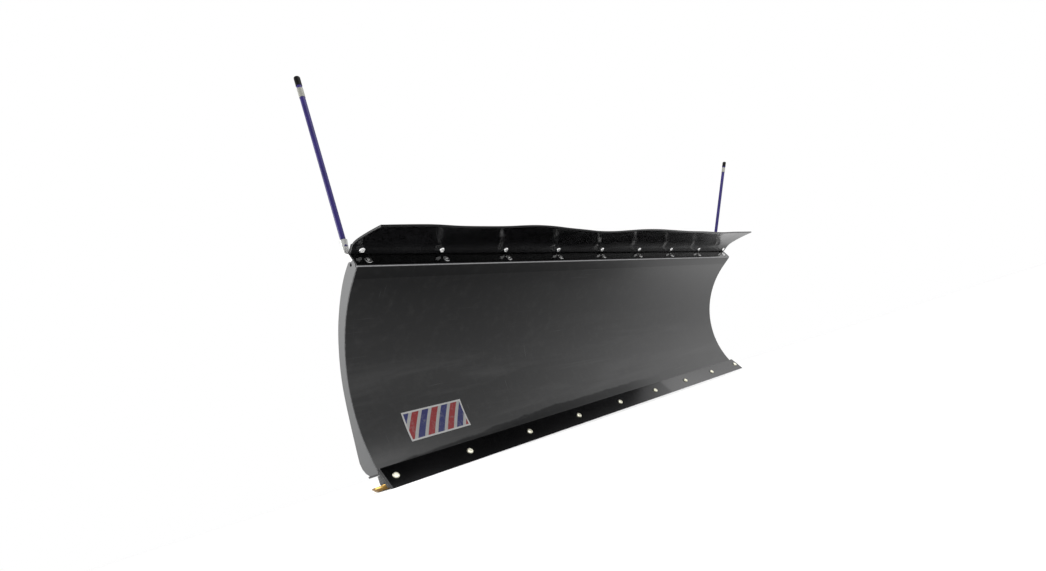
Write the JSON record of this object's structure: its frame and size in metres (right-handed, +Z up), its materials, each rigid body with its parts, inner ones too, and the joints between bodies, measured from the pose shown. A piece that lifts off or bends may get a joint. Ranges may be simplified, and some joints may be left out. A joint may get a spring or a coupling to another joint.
{
  "type": "atv snow plow blade",
  "caption": "Curled steel snow plow blade with a bolted wear bar, rubber snow flap, ribbed back, height-adjustable round skid shoes and upright end markers.",
  "frame": {"origin": "middle of the trip pivot axis, between the two pivot ears on the back", "axes": "+X along the blade to its right end seen from in front, -Y out of the front of the blade, +Z up"},
  "size_m": [1.957, 0.3933, 0.9564],
  "materials": {
    "moldboard_paint": "satin black powder coat",
    "frame_paint": "satin black powder coat on plate",
    "wear_bar_steel": "glossy black paint on a sheared flat bar",
    "zinc": "bright zinc plate",
    "yellow_zinc": "yellow zinc plate",
    "spacer_paint": "black paint",
    "flap_rubber": "smooth black sheet rubber",
    "cap_rubber": "matte black moulded rubber",
    "rod_plastic": "glossy dark blue plastic",
    "band_film": "white reflective film",
    "decal_film": "grey striped film"
  },
  "bodies": {
    "blade": {"moldboard": "moldboard_paint", "wear_bar": "wear_bar_steel", "wear_bar_bolts": "zinc", "wear_bar_nuts": "zinc", "lower_stiffener": "frame_paint", "end_rib_left": "frame_paint", "end_rib_right": "frame_paint", "inner_rib_left": "frame_paint", "inner_rib_right": "frame_paint", "pivot_rib_left": "frame_paint", "pivot_rib_right": "frame_paint", "spring_anchor_plate": "frame_paint", "rubber_flap": "flap_rubber", "flap_washers": "zinc", "flap_bolts": "zinc", "flap_nuts": "zinc", "strip_inserts": "zinc", "skid_sleeve_left": "frame_paint", "skid_sleeve_right": "frame_paint", "skid_bracket_left": "frame_paint", "skid_bracket_right": "frame_paint", "marker_stud_left": "zinc", "marker_stud_right": "zinc", "marker_nut_left": "zinc", "marker_nut_right": "zinc", "striped_decal": "decal_film"},
    "left_skid_stack": {"skid_spacers_left": "spacer_paint"},
    "left_skid": {"skid_shoe_left": "yellow_zinc", "skid_post_left": "yellow_zinc", "skid_washer_left": "zinc", "skid_linch_pin_left": "zinc"},
    "left_marker": {"marker_socket_left": "zinc", "marker_rod_left": "rod_plastic", "marker_band_left": "band_film", "marker_cap_left": "cap_rubber"},
    "right_skid_stack": {"skid_spacers_right": "spacer_paint"},
    "right_skid": {"skid_shoe_right": "yellow_zinc", "skid_post_right": "yellow_zinc", "skid_washer_right": "zinc", "skid_linch_pin_right": "zinc"},
    "right_marker": {"marker_socket_right": "zinc", "marker_rod_right": "rod_plastic", "marker_band_right": "band_film", "marker_cap_right": "cap_rubber"}
  },
  "joints": [
    {"name": "left_skid_height", "type": "slide", "parent": "blade", "child": "left_skid_stack", "axis": [0, 0, 1], "range_m": [-0.019, 0]},
    {"name": "left_skid_spin", "type": "hinge", "parent": "left_skid_stack", "child": "left_skid", "pos_m": [-0.858, -0.031, -0.05], "axis": [0, 0, 1], "continuous": true},
    {"name": "left_marker_swing", "type": "hinge", "parent": "blade", "child": "left_marker", "pos_m": [-0.907, -0.22925, 0.41589], "axis": [0, -0.8938, 0.4486], "range_deg": [-30, 30]},
    {"name": "right_skid_height", "type": "slide", "parent": "blade", "child": "right_skid_stack", "axis": [0, 0, 1], "range_m": [-0.019, 0]},
    {"name": "right_skid_spin", "type": "hinge", "parent": "right_skid_stack", "child": "right_skid", "pos_m": [0.858, -0.031, -0.05], "axis": [0, 0, 1], "continuous": true},
    {"name": "right_marker_swing", "type": "hinge", "parent": "blade", "child": "right_marker", "pos_m": [0.87, -0.22925, 0.41589], "axis": [0, -0.8938, 0.4486], "range_deg": [-8, 45]}
  ]
}
